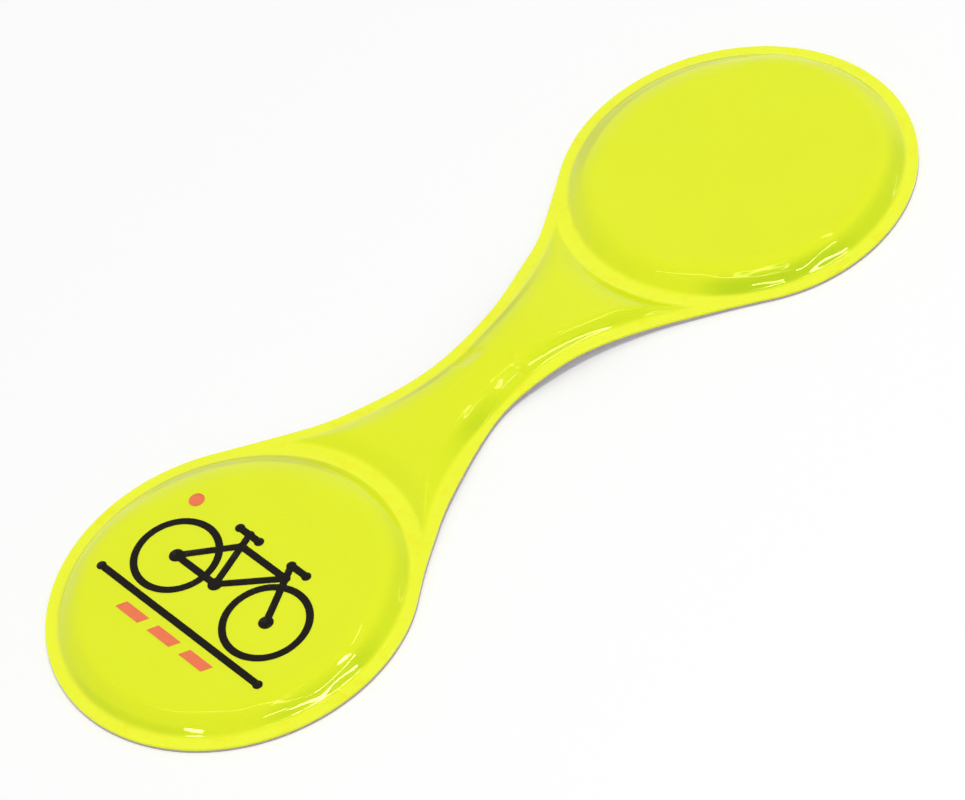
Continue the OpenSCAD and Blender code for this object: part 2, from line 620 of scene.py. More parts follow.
@dataclass(frozen=True)
class FilmForm:
    """Heights of the films over the plan.

    Attributes:
        plan: The clip's plan.
        back_t: Thickness of the back film.
        weld_t: Thickness of the front film at the welds.
        lobe: Shoulder of a lobe's cell.
        waist: Shoulder of the waist's cell.
        bow: Height of the even bow of the waist off the floor.
        bow_reach: Distance from the middle at which the bow has run out.
        tent: Height that the old fold adds to the bow.
        tent_x: Place of the fold's top along the clip.
        tent_spread: Spread of the fold along the clip.
        sag: Share by which the waist's edge of negative Y is lifted less, beside the fold.
        sag_x: Place of the sag's middle along the clip.
        sag_spread: Spread of the sag along the clip.
        sag_edge: Distances towards that edge between which the sag grows.
        arc_ease: How much gentler the waist's shoulders are along the arc welds than along the rims.
        mitre: Softness of the corner between those two shoulders.
        pinches: Flat spots at the sides of the waist.
        ripples: Ridges and puckers round the lobes.
        furrows: Fine ridges along the waist.
        creases: Short marks of handling.
        green_painted_shades: Parts of the near shoulders painted darker green: painted shade.
        olive_painted_shades: Parts of the far shoulders painted olive: painted shade and dark reflection.
        slacks: Slack parts of the lobes' shoulders.
        far_ease: Share by which the waist's wall is gentler on its side of positive Y.
        stretches: Small stretches of the waist's edges.
        swell: Height of the slow swell of the cells' tops.
        swell_waves: Length in millimetres, direction in degrees and phase of each wave of it.
    """

    plan: ClipPlan
    back_t: float
    weld_t: float
    lobe: Shoulder
    waist: Shoulder
    bow: float = 0.75 * MM
    bow_reach: float = 34 * MM
    tent: float = 0.8 * MM
    tent_x: float = 6 * MM
    tent_spread: float = 8 * MM
    sag: float = 0.75
    sag_x: float = -5 * MM
    sag_spread: float = 8 * MM
    sag_edge: tuple[float, float] = (-1 * MM, 7 * MM)
    arc_ease: float = 0.6
    mitre: float = 0.5 * MM
    pinches: Sequence[Pinch] = ()
    ripples: Sequence[Union[Ripple, Puckers]] = ()
    furrows: Sequence[Furrows] = ()
    creases: Sequence[Crease] = ()
    green_painted_shades: Sequence[Union[Band, RimBand]] = ()
    olive_painted_shades: Sequence[Union[Band, RimBand]] = ()
    slacks: Sequence[Slack] = ()
    far_ease: float = 0.3
    stretches: Sequence[Stretch] = ()
    swell: float = 0.03 * MM
    swell_waves: Sequence[tuple[float, float, float]] = (
        (9, 20, 0.4), (13, 75, 1.9), (17, 130, 4.1), (7, 160, 2.7),
    )

    def bowed(self, x: Array, y: Array) -> Array:
        """Return how far the films are lifted off the floor.

        Args:
            x: Places along the clip.
            y: Places across the clip.

        Returns:
            Heights.
        """
        even = self.bow * np.cos(0.5 * math.pi * np.clip(x / self.bow_reach, -1, 1)) ** 2
        fold = self.tent * bell(x, self.tent_x, self.tent_spread)
        sag = self.sag * bell(x, self.sag_x, self.sag_spread) * smoothstep(-y, *self.sag_edge)
        return (even + fold) * (1 - sag)

    def back_top(self, x: Array, y: Array) -> Array:
        """Return the height of the back film's top above the floor."""
        return self.back_t + self.bowed(x, y)

    def swollen(self, x: Array, y: Array) -> Array:
        """Return the slow swell of the film, a few waves of different length and direction.

        Args:
            x: Places along the clip.
            y: Places across the clip.

        Returns:
            Heights.
        """
        total = np.zeros_like(x)
        for wave, turn, phase in self.swell_waves:
            along = x * math.cos(math.radians(turn)) + y * math.sin(math.radians(turn))
            total += wave / 13 * np.sin(2 * math.pi * along / (wave * MM) + phase)
        return 0.5 * self.swell * total

    def lift(self, x: Array, y: Array) -> Array:
        """Return how far the front film's top rises above its welds.

        Args:
            x: Places along the clip.
            y: Places across the clip.

        Returns:
            Heights.
        """
        plan = self.plan
        in_lobe = plan.in_lobe(x, y) * (1 - sum(slack.share(x, y, plan) for slack in self.slacks))
        in_rim = (plan.inset_of(x, y) - plan.rim_w) * (1 - self.far_ease * smoothstep(y, *FAR_RUN))
        in_arc = plan.from_lobe(x, y) - plan.arc_r
        in_waist = smooth_min(in_rim, in_arc * self.arc_ease, self.mitre)
        waist = self.waist.rise(in_waist)
        for pinch in self.pinches:
            waist = waist * (1 - pinch.press(x, y, np.maximum(in_waist, 0)))
        for furrow in self.furrows:
            waist = waist + furrow.rise(x, y, plan.inset_of(x, y)) * smoothstep(in_waist, *FURROW_RUN)
        lobe = self.lobe.rise(in_lobe)
        for ripple in self.ripples:
            lobe = lobe + ripple.rise(x, y, plan) * smoothstep(in_lobe, *RIPPLE_RUN)
        on_lobe = in_arc < -plan.arc_weld_w / 2
        cell = np.where(on_lobe, in_lobe, in_waist)
        marks = sum(crease.rise(x, y) for crease in self.creases) * smoothstep(cell, *CREASE_RUN)
        return np.where(on_lobe, lobe, waist) + marks + self.swollen(x, y) * smoothstep(cell, *SWELL_RUN)

    def stretched(self, points: Array) -> Array:
        """Return points moved by the stretches of the waist's edges.

        Args:
            points: One row of X, Y and Z for each.

        Returns:
            The moved points.
        """
        moved = points.copy()
        half_width = self.plan.edge_y(points[:, 0], 0)
        for stretch in self.stretches:
            moved[:, 1] += stretch.move(points[:, 0], points[:, 1], half_width)
        return moved

    def top(self, x: Array, y: Array) -> Array:
        """Return the height of the front film's top above the floor."""
        return self.back_t + self.weld_t + self.lift(x, y) + self.bowed(x, y)


def only(piece: Piece) -> None:
    """Select one object alone and make it active.

    Args:
        piece: The object.
    """
    bpy.ops.object.select_all(action="DESELECT")
    piece.select_set(True)
    bpy.context.view_layer.objects.active = piece


def linked(name: str, data: bpy.types.ID) -> Piece:
    """Return a new object of some data, linked to the scene.

    Args:
        name: Name of the object.
        data: Its mesh, camera or lamp.

    Returns:
        The object.
    """
    made = bpy.data.objects.new(name, data)
    bpy.context.scene.collection.objects.link(made)
    return made


def vertices(piece: Piece) -> Array:
    """Return the places of a piece's vertices.

    Args:
        piece: The piece.

    Returns:
        One row of X, Y and Z for each.
    """
    flat = np.empty(len(piece.data.vertices) * 3)
    piece.data.vertices.foreach_get("co", flat)
    return flat.reshape(-1, 3)


def place(piece: Piece, points: Array) -> None:
    """Move a piece's vertices to new places."""
    piece.data.vertices.foreach_set("co", points.astype(np.float32).ravel())
    piece.data.update()


def paint(piece: Piece, name: str, values: Array) -> None:
    """Write one number for each vertex as an attribute that a material can read."""
    layer = piece.data.attributes.new(name, "FLOAT", "POINT")
    layer.data.foreach_set("value", values.astype(np.float32))


def finish_with(piece: Piece, kind: str, **settings: object) -> None:
    """Add a modifier to a piece and apply it.

    Args:
        piece: The piece.
        kind: Type of the modifier.
        settings: Values of the modifier's own settings.
    """
    only(piece)
    modifier = piece.modifiers.new(kind.title(), kind)
    for name, value in settings.items():
        setattr(modifier, name, value)
    bpy.ops.object.modifier_apply(modifier=modifier.name)


@dataclass(frozen=True)
class PlanMesh:
    """Flat mesh over the whole plan, with its lines along the welds and shoulders.

    Attributes:
        plan: The clip's plan.
        rings: Radii of a lobe's mesh lines, as distances in from the edge of its cell.
        columns: Places of the waist's cross lines, as shares of its half length.
        outer: Steps along each outer quarter of a lobe.
        flank: Steps along each flank.
        rim: Steps across each rim of the waist.
        cell: Steps across half the waist's cell.
    """

    plan: ClipPlan
    rings: Sequence[float]
    columns: Sequence[float]
    outer: int = 90
    flank: int = 8
    rim: int = 7
    cell: int = 36

    def lobe(self, side: Side) -> Piece:
        """Build one lobe from a disc that is inset ring by ring.

        Args:
            side: Which lobe.

        Returns:
            The lobe's flat mesh.
        """
        plan = self.plan
        angles = plan.lobe_angles(self.outer, self.flank, self.rim, self.cell)
        count = len(angles)
        bpy.ops.object.select_all(action="DESELECT")
        bpy.ops.mesh.primitive_circle_add(vertices=count, radius=plan.lobe_r, fill_type="NGON")
        disc = bpy.context.object
        bpy.ops.object.mode_set(mode="EDIT")
        last = plan.lobe_r
        for inside in self.rings:
            radius = plan.cell_r - inside
            bpy.ops.mesh.inset(thickness=(last - radius) * math.cos(math.pi / count))
            last = radius
        bpy.ops.mesh.poke()
        bpy.ops.object.mode_set(mode="OBJECT")
        points = vertices(disc)
        radius = np.hypot(points[:, 0], points[:, 1])
        step = np.round((np.arctan2(points[:, 1], points[:, 0]) / (2 * math.pi) - 0.25) * count)
        angle = angles[step.astype(int) % count]
        outside = np.clip((radius - plan.cell_r) / plan.rim_w, 0, 1)
        radius = np.where(outside > 0, plan.cell_r + outside * (plan.lobe_edge(angle) - plan.cell_r), radius)
        points[:, 0] = (radius * np.cos(angle) + plan.lobe_x) * side.value
        points[:, 1] = radius * np.sin(angle) * side.value
        place(disc, points)
        return disc

    def waist(self) -> Piece:
        """Build the waist from a grid whose ends meet the lobes' mesh lines.

        Returns:
            The waist's flat mesh.
        """
        plan = self.plan
        angles = plan.lobe_angles(self.outer, self.flank, self.rim, self.cell)
        first = self.outer + self.flank
        ends = angles[first:first + 2 * (self.rim + self.cell) + 1]
        rows, columns = len(ends), len(self.columns)
        bpy.ops.object.select_all(action="DESELECT")
        bpy.ops.mesh.primitive_grid_add(x_subdivisions=columns - 1, y_subdivisions=rows - 1, size=2)
        strip = bpy.context.object
        points = vertices(strip)
        column = np.round((points[:, 0] + 1) / 2 * (columns - 1)).astype(int)
        row = np.round((points[:, 1] + 1) / 2 * (rows - 1)).astype(int)
        end_x = (plan.lobe_x + plan.arc_r * np.cos(ends))[row]
        end_y = (plan.arc_r * np.sin(ends))[row]
        share = np.array(self.columns)[column]
        x = end_x * share
        middle = rows // 2
        from_edge = np.minimum(row, rows - 1 - row)
        inset = plan.rim_w * np.minimum(from_edge / self.rim, 1)
        edge = np.array([plan.edge_y(a, b) for a, b in zip(x, inset)])
        at_end = np.abs(end_y) / np.array([plan.edge_y(a, b) for a, b in zip(end_x, inset)])
        at_middle = np.clip((middle - from_edge) / self.cell, 0, 1)
        share_y = at_middle + (at_end - at_middle) * np.abs(share) ** 3
        points[:, 0] = x
        points[:, 1] = -edge * np.where(from_edge < self.rim, 1, share_y) * np.sign(row - middle)
        place(strip, points)
        return strip

    def build(self, name: str) -> Piece:
        """Build the lobes and the waist and join them into one sheet with its faces up.

        Args:
            name: Name of the sheet.

        Returns:
            The sheet.
        """
        parts = [self.lobe(Side.PRINTED), self.lobe(Side.PLAIN), self.waist()]
        only(parts[0])
        for part in parts[1:]:
            part.select_set(True)
        bpy.ops.object.join()
        sheet = bpy.context.object
        sheet.name = sheet.data.name = name
        bpy.ops.object.mode_set(mode="EDIT")
        bpy.ops.mesh.select_all(action="SELECT")
        bpy.ops.mesh.remove_doubles(threshold=MERGE)
        bpy.ops.mesh.normals_make_consistent(inside=False)
        bpy.ops.object.mode_set(mode="OBJECT")
        up = sum(polygon.normal.z * polygon.area for polygon in sheet.data.polygons)
        if up < 0:
            bpy.ops.object.mode_set(mode="EDIT")
            bpy.ops.mesh.flip_normals()
            bpy.ops.object.mode_set(mode="OBJECT")
        return sheet


class Wire:
    """A node's output, or a number, that Python's operators add Math nodes to."""

    def __init__(self, finish: "Nodes", socket: bpy.types.NodeSocket) -> None:
        """Wrap a socket of a finish's node tree."""
        self.finish = finish
        self.socket = socket

    def _math(self, operation: str, first: "Value", second: "Value") -> "Wire":
        """Add a Math node on two values."""
        return self.finish.node("ShaderNodeMath", {"operation": operation}, {0: first, 1: second})

    def __add__(self, other: "Value") -> "Wire":
        """Add a value."""
        return self._math("ADD", self, other)

    def __sub__(self, other: "Value") -> "Wire":
        """Take a value away."""
        return self._math("SUBTRACT", self, other)

    def __rsub__(self, other: "Value") -> "Wire":
        """Take this away from a value."""
        return self._math("SUBTRACT", other, self)

    def __mul__(self, other: "Value") -> "Wire":
        """Multiply by a value."""
        return self._math("MULTIPLY", self, other)

    __radd__ = __add__
    __rmul__ = __mul__

    def over(self, other: "Value") -> "Wire":
        """Return the larger of this and a value."""
        return self._math("MAXIMUM", self, other)

    def ramp(self, low: float, high: float) -> "Wire":
        """Return 0 below low, 1 above high and a smooth ramp between them.

        Args:
            low: Value where it leaves 0.
            high: Value where it reaches 1.

        Returns:
            The ramp.
        """
        return self.finish.node(
            "ShaderNodeMapRange",
            {"interpolation_type": "SMOOTHSTEP"},
            {"Value": self, "From Min": low, "From Max": high},
        )


Value = Union[float, Wire]


class Nodes:
    """A node tree that is being written."""

    def __init__(self, tree: bpy.types.NodeTree) -> None:
        """Start on an empty tree."""
        self.tree = tree
        tree.nodes.clear()

    def node(
        self,
        kind: str,
        settings: Optional[dict[str, object]] = None,
        sockets: Optional[dict[Union[str, int], object]] = None,
        out: Union[str, int] = 0,
    ) -> Wire:
        """Add a node.

        Args:
            kind: Type of the node.
            settings: Values of its own settings, set first.
            sockets: Values or wires of its inputs.
            out: Output to return.

        Returns:
            The output.
        """
        made = self.tree.nodes.new(kind)
        for name, value in (settings or {}).items():
            setattr(made, name, value)
        for name, value in (sockets or {}).items():
            if isinstance(value, Wire):
                self.tree.links.new(value.socket, made.inputs[name])
            elif isinstance(value, tuple) and len(value) == 3 and made.inputs[name].type == "RGBA":
                made.inputs[name].default_value = (*value, 1)
            else:
                made.inputs[name].default_value = value
        return Wire(self, made.outputs[out] if made.outputs else None)

    def place(self) -> Wire:
        """Return the Object coordinates."""
        return self.node("ShaderNodeTexCoord", out="Object")

    def noise(self, size: float, detail: float = 2, roughness: float = 0.5) -> Wire:
        """Return a noise from 0 to 1 whose patches have a size in metres.

        Args:
            size: Size of its patches.
            detail: Number of finer layers.
            roughness: Strength of the finer layers.

        Returns:
            The noise.
        """
        return self.node(
            "ShaderNodeTexNoise",
            {"noise_dimensions": "3D"},
            {"Vector": self.place(), "Scale": 1 / size, "Detail": detail, "Roughness": roughness},
        )

    def cells(self, size: float, feature: str) -> Wire:
        """Return the distance pattern of cells of a size in metres.

        Args:
            size: Size of the cells.
            feature: From where it is measured, as the node names it.

        Returns:
            The distance.
        """
        return self.node(
            "ShaderNodeTexVoronoi",
            {"feature": feature},
            {"Vector": self.place(), "Scale": 1 / size},
            "Distance",
        )

    def seen(self) -> Wire:
        """Return 1 for rays that look at the background, straight, mirrored or through glass.

        Returns:
            The larger of the three kinds of ray.
        """
        rays = ("Is Camera Ray", "Is Glossy Ray", "Is Transmission Ray")
        camera, glossy, through = (self.node("ShaderNodeLightPath", out=ray) for ray in rays)
        return camera.over(glossy).over(through)

    def attribute(self, name: str) -> Wire:
        """Return a number that the mesh carries."""
        return self.node("ShaderNodeAttribute", {"attribute_name": name}, out="Fac")

    def mix(self, share: Value, first: object, second: object) -> Wire:
        """Mix two colours.

        Args:
            share: Share of the second.
            first: First colour.
            second: Second colour.

        Returns:
            The mixed colour.
        """
        return self.node(
            "ShaderNodeMix", {"data_type": "RGBA"}, {"Factor": share, "A": first, "B": second}, "Result"
        )

    def scaled(self, colour: object, by: Value) -> Wire:
        """Multiply a colour by a value."""
        return self.node("ShaderNodeVectorMath", {"operation": "SCALE"}, {0: colour, "Scale": by})

    def bump(self, height: Value, distance: float) -> Wire:
        """Return the normal of a surface raised by a height from 0 to 1."""
        return self.node("ShaderNodeBump", sockets={"Height": height, "Distance": distance})


def new_material(name: str) -> tuple[Material, Nodes]:
    """Return a new material and its empty node tree.

    Args:
        name: Name of the material.

    Returns:
        The material and the tree.
    """
    material = bpy.data.materials.new(name)
    material.use_nodes = True
    return material, Nodes(material.node_tree)


@dataclass(frozen=True)
class Finish:
    """Finish made from one Principled shader.

    Attributes:
        name: Name of its material.
    """

    name: str

    def dress(self, nodes: Nodes) -> dict[str, object]:
        """Write the nodes and return the values or wires of the shader's sockets."""
        raise NotImplementedError

    def material(self) -> Material:
        """Make the material.

        Returns:
            The material.
        """
        material, nodes = new_material(self.name)
        surface = nodes.node("ShaderNodeBsdfPrincipled", sockets=self.dress(nodes))
        nodes.node("ShaderNodeOutputMaterial", sockets={"Surface": surface})
        return material


@dataclass(frozen=True)
class PrismFilm(Finish):
    """Clear, glossy, fluorescent film over fine prisms.

    Attributes:
        cell: Colour over the cells, where the prisms have air behind them.
        weld: Colour at the welds, where the prisms are melted flat.
        scorched: Colour of the patches that the weld has melted deeper.
        dark_green_and_shade_colour: Darker green, laid a little along every shoulder and as painted shade on
            the near shoulders.
        olive_shade_colour: Olive, painted shade on the shoulders on the far side.
        glow: Strength of its glow, emission in its own colour: it stands for the film's real fluorescence,
            but is painted light that shines under any lamp.
        ior: Index of refraction of the clear top.
        tint: Tint of its reflections.
        roughness: Roughness of the clear top.
        prism: Size of the prisms.
    """

    name: str = "fluorescent_prism_film"
    cell: Colour = (0.77, 0.86, 0.012)
    weld: Colour = (0.87, 0.94, 0.03)
    scorched: Colour = (0.87, 0.87, 0.015)
    dark_green_and_shade_colour: Colour = (0.51, 0.68, 0.005)
    olive_shade_colour: Colour = (0.58, 0.65, 0.005)
    glow: float = 0.08
    ior: float = 1.45
    tint: Colour = (1.0, 1.0, 0.4)
    roughness: float = 0.03
    prism: float = 0.22 * MM

    def dress(self, nodes: Nodes) -> dict[str, object]:
        """Write the nodes.

        Args:
            nodes: Node tree of the material.

        Returns:
            Values or wires of the shader's sockets.
        """
        weld = nodes.attribute("weld")
        mottle = nodes.noise(9 * MM, 1.5)
        prisms = nodes.cells(self.prism, "F1")
        # Darker green a little along every shoulder, and painted shade in bands on the near shoulders.
        body = nodes.mix(nodes.attribute("dark_green_and_shade"), self.cell, self.dark_green_and_shade_colour)
        # Painted shade: olive bands on the shoulders on the far side.
        body = nodes.mix(nodes.attribute("olive_painted_shade"), body, self.olive_shade_colour)
        melted = nodes.mix(nodes.noise(1.6 * MM, 3).ramp(0.5, 0.8), self.weld, self.scorched)
        colour = nodes.mix(weld, body, melted)
        facets = (1 - weld) * (0.03 * prisms - 0.015)
        shade = 0.975 + 0.05 * mottle + facets
        swirl = nodes.noise(2.2 * MM, 2)
        return {
            "Base Color": nodes.scaled(colour, shade),
            "Roughness": self.roughness + 0.02 * swirl,
            "IOR": self.ior,
            "Specular Tint": self.tint,
            # Painted light: the film glows in its own colour under any lamp, standing in for its
            # fluorescence.
            "Emission Color": nodes.scaled(colour, shade),
            "Emission Strength": self.glow,
            "Normal": nodes.bump(swirl, 0.004 * MM),
        }


@dataclass(frozen=True)
class GreyFilm(Finish):
    """Grey film with a fine leather grain, smoother where it is welded.

    Attributes:
        light: Colour of the grain's tops.
        dark: Colour of the grain's valleys.
        grain: Size of the grain.
    """

    name: str = "grained_grey_film"
    light: Colour = (0.46, 0.41, 0.42)
    dark: Colour = (0.38, 0.33, 0.345)
    grain: float = 0.55 * MM

    def dress(self, nodes: Nodes) -> dict[str, object]:
        """Write the nodes.

        Args:
            nodes: Node tree of the material.

        Returns:
            Values or wires of the shader's sockets.
        """
        weld = nodes.attribute("weld")
        creases = nodes.cells(self.grain, "DISTANCE_TO_EDGE").ramp(0.0, 0.12)
        fine = nodes.noise(0.25 * MM, 3)
        relief = (creases * 0.7 + fine * 0.3) * (1 - 0.75 * weld)
        patches = nodes.noise(12 * MM, 2)
        colour = nodes.mix(creases, self.dark, self.light)
        return {
            "Base Color": nodes.scaled(colour, 0.95 + 0.1 * patches),
            "Roughness": 0.5 - 0.16 * weld + 0.1 * fine,
            "Normal": nodes.bump(relief, 0.03 * MM),
        }


@dataclass(frozen=True)
class Ink(Finish):
    """Screen-printed ink.

    Attributes:
        colour: Colour of the ink.
        roughness: Roughness of its surface.
    """

    colour: Colour
    roughness: float = 0.3

    def dress(self, nodes: Nodes) -> dict[str, object]:
        """Write the nodes.

        Args:
            nodes: Node tree of the material.

        Returns:
            Values or wires of the shader's sockets.
        """
        cover = nodes.noise(0.6 * MM, 3)
        return {
            "Base Color": nodes.scaled(self.colour, 0.9 + 0.2 * cover),
            "Roughness": self.roughness + 0.12 * cover,
            "Specular IOR Level": 0.1,
            "Normal": nodes.bump(cover, 0.003 * MM),
        }


@dataclass(frozen=True)
class Plating(Finish):
    """Nickel plating of the magnets, with fine scratches.

    Attributes:
        colour: Colour of the metal.
    """

    name: str = "nickel_plating"
    colour: Colour = (0.66, 0.64, 0.6)

    def dress(self, nodes: Nodes) -> dict[str, object]:
        """Write the nodes.

        Args:
            nodes: Node tree of the material.

        Returns:
            Values or wires of the shader's sockets.
        """
        cloud = nodes.noise(3 * MM, 3)
        scratches = nodes.noise(0.15 * MM, 4, 0.7)
        return {
            "Base Color": nodes.scaled(self.colour, 0.92 + 0.12 * cloud),
            "Metallic": 1.0,
            "Roughness": 0.2 + 0.14 * scratches,
            "Normal": nodes.bump(scratches, 0.002 * MM),
        }


@dataclass(frozen=True)
class Films:
    """The welded films.

    Attributes:
        form: Heights of the films.
        front_round: Rounding of the front film's cut edge.
        back_round: Rounding of the back film's cut edge.
        weld_ramp: Distances in from a cell's edge between which a weld's look runs out.
        dark_green_and_shade: How much darker green every shoulder is, from 0 to 1.
        dark_green_foot: Distances in from a cell's edge between which that begins.
        dark_green_end: Distances in from a cell's edge between which that runs out.
    """

    form: FilmForm
    front_round: float = 0.1 * MM
    back_round: float = 0.06 * MM
    weld_ramp: tuple[float, float] = (-0.15 * MM, 0.45 * MM)
    dark_green_and_shade: float = 0.1
    dark_green_foot: tuple[float, float] = (-0.1 * MM, 0.3 * MM)
    dark_green_end: tuple[float, float] = (0.9 * MM, 3 * MM)

    def sheet(
        self, mesh: PlanMesh, name: str, top: Callable[..., Array], thickness: float, edge: float
    ) -> Piece:
        """Build one film and paint its welds.

        Args:
            mesh: Flat mesh of the film.
            name: Name of the piece.
            top: Returns the height of the film's top at places along and across the clip.
            thickness: Thickness of the film, downwards from its top.
            edge: Rounding of its cut edge.

        Returns:
            The film.
        """
        sheet = mesh.build(name)
        points = vertices(sheet)
        points[:, 2] = top(points[:, 0], points[:, 1])
        place(sheet, self.form.stretched(points))
        finish_with(sheet, "SOLIDIFY", thickness=thickness, offset=-1, use_quality_normals=True)
        finish_with(sheet, "BEVEL", width=edge, segments=2, limit_method="ANGLE", angle_limit=SHARP_EDGE)
        x, y, _ = vertices(sheet).T
        paint(sheet, "weld", 1 - smoothstep(mesh.plan.in_cell(x, y), *self.weld_ramp))
        return sheet

    def front(self) -> Piece:
        """Build the embossed front film and paint its darker green shoulders and its painted shade.

        Returns:
            The film.
        """
        form, plan = self.form, self.form.plan
        mesh = PlanMesh(plan, FRONT_RINGS, FRONT_COLUMNS)
        sheet = self.sheet(mesh, "embossed_front_film", form.top, form.weld_t, self.front_round)
        x, y, _ = vertices(sheet).T
        inside = plan.in_cell(x, y)
        # A little darker green along every shoulder, plus painted shade in green bands on the near
        # shoulders.
        even = self.dark_green_and_shade * smoothstep(inside, *self.dark_green_foot) * (1 - smoothstep(inside, *self.dark_green_end))
        paint(sheet, "dark_green_and_shade", np.clip(even + sum(band.share(x, y, plan) for band in form.green_painted_shades), 0, 1))
        # Painted shade in olive bands on the far shoulders.
        paint(sheet, "olive_painted_shade", np.clip(sum(band.share(x, y, plan) for band in form.olive_painted_shades), 0, 1))
        return sheet

    def back(self) -> Piece:
        """Build the flat back film.

        Returns:
            The film.
        """
        form = self.form
        mesh = PlanMesh(form.plan, BACK_RINGS, BACK_COLUMNS, outer=60, flank=5, rim=5, cell=20)
        return self.sheet(mesh, "grained_back_film", form.back_top, form.back_t, self.back_round)


@dataclass(frozen=True)
class Print:
    """Ink that is laid on the front film.

    Attributes:
        form: Heights of the films.
        pitch: Distance of the cuts that let the ink follow the film.
    """

    form: FilmForm
    pitch: float = 1 * MM

    def lay(self, node: str, name: str) -> Piece:
        """Copy a node's ink, cut it fine and lay it on the film.

        Args:
            node: CAD node that holds the flat ink.
            name: Name of the new piece.

        Returns:
            The new piece.
        """
        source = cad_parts[node]
        low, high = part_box(node)
        ink = linked(name, source.data.copy())
        ink.data.name = name
        only(ink)
        bpy.ops.object.mode_set(mode="EDIT")
        bpy.ops.mesh.select_all(action="SELECT")
        bpy.ops.mesh.remove_doubles(threshold=MERGE)
        for axis in (0, 1):
            normal = Vector((axis == 0, axis == 1, 0))
            for cut in np.arange(low[axis] + self.pitch / 2, high[axis], self.pitch):
                bpy.ops.mesh.select_all(action="SELECT")
                bpy.ops.mesh.bisect(plane_co=normal * float(cut), plane_no=normal)
        bpy.ops.object.mode_set(mode="OBJECT")
        points = vertices(ink)
        flat = points[:, 2] - low.z
        points[:, 2] = self.form.top(points[:, 0], points[:, 1]) + flat
        place(ink, points)
        return ink


@dataclass(frozen=True)
class PhotoCamera:
    """Camera at the photograph's angle.

    Attributes:
        elevation: Angle above the floor, in degrees.
        roll: Turn round the line of sight, in degrees.
        yaw: Turn round the vertical, in degrees.
        right: Shift of the clip's origin to the right of the line of sight.
        up: Shift of the clip's origin above the line of sight.
        distance: Distance along the line of sight.
        focal_px: Focal length in pixels of the photograph.
        width_px: Width of the photograph in pixels.
        sensor: Width of the sensor, in millimetres.
        sight: Nearest and farthest distance that it sees.
    """

    elevation: float = 46.13
    roll: float = 16.73
    yaw: float = 30.79
    right: float = 1.266 * MM
    up: float = 2.293 * MM
    distance: float = 476.28 * MM
    focal_px: float = 4074.6
    width_px: float = 965
    sensor: float = 36
    sight: tuple[float, float] = (0.01, 20)

    def build(self) -> None:
        """Make the camera and use it."""
        data = bpy.data.cameras.new("photo_camera")
        data.sensor_fit = "HORIZONTAL"
        data.sensor_width = self.sensor
        data.lens = self.focal_px * self.sensor / self.width_px
        data.clip_start, data.clip_end = self.sight
        camera = linked("photo_camera", data)
        tilt = math.radians(self.elevation)
        base = Matrix(((1, 0, 0), (0, math.sin(tilt), math.cos(tilt)), (0, -math.cos(tilt), math.sin(tilt))))
        turn = Matrix.Rotation(math.radians(self.roll), 3, "Z") @ base
        turn = turn @ Matrix.Rotation(math.radians(self.yaw), 3, "Z")
        place_in_world = turn.transposed() @ Vector((-self.right, -self.up, self.distance))
        camera.matrix_world = Matrix.Translation(place_in_world) @ turn.transposed().to_4x4()
        bpy.context.scene.camera = camera


@dataclass(frozen=True)
class Strip:
    """Long soft lamp of the studio.

    Attributes:
        azimuth: Direction of its middle from the clip, in degrees from +X.
        elevation: Angle of its middle above the floor, in degrees.
        roll: Turn of its length from level, in degrees.
        length: Size along the horizon.
        height: Size across the horizon.
        radiance: Brightness, where 1 is white.
        duty: Whether it lights the clip or only shows in its gloss.
        distance: Distance from the clip.
    """

    azimuth: float
    elevation: float
    roll: float
    length: float
    height: float
    radiance: float
    duty: Duty = Duty.GLOSS
    distance: float = 1.2

    def build(self, name: str) -> None:
        """Make the lamp and turn it to the clip.

        Args:
            name: Name of the lamp.
        """
        data = bpy.data.lights.new(name, "AREA")
        data.shape = "RECTANGLE"
        data.size = self.length
        data.size_y = self.height
        data.energy = self.radiance * math.pi * self.length * self.height
        lamp = linked(name, data)
        lamp.visible_diffuse = self.duty is Duty.LIGHT
        lamp.visible_glossy = self.duty is Duty.GLOSS
        up, round_clip = math.radians(self.elevation), math.radians(self.azimuth)
        level = math.cos(up)
        towards = Vector((level * math.cos(round_clip), level * math.sin(round_clip), math.sin(up)))
        lamp.location = towards * self.distance
        aim = towards.to_track_quat("Z", "Y").to_matrix() @ Matrix.Rotation(math.radians(self.roll), 3, "Z")
        lamp.rotation_euler = aim.to_euler()


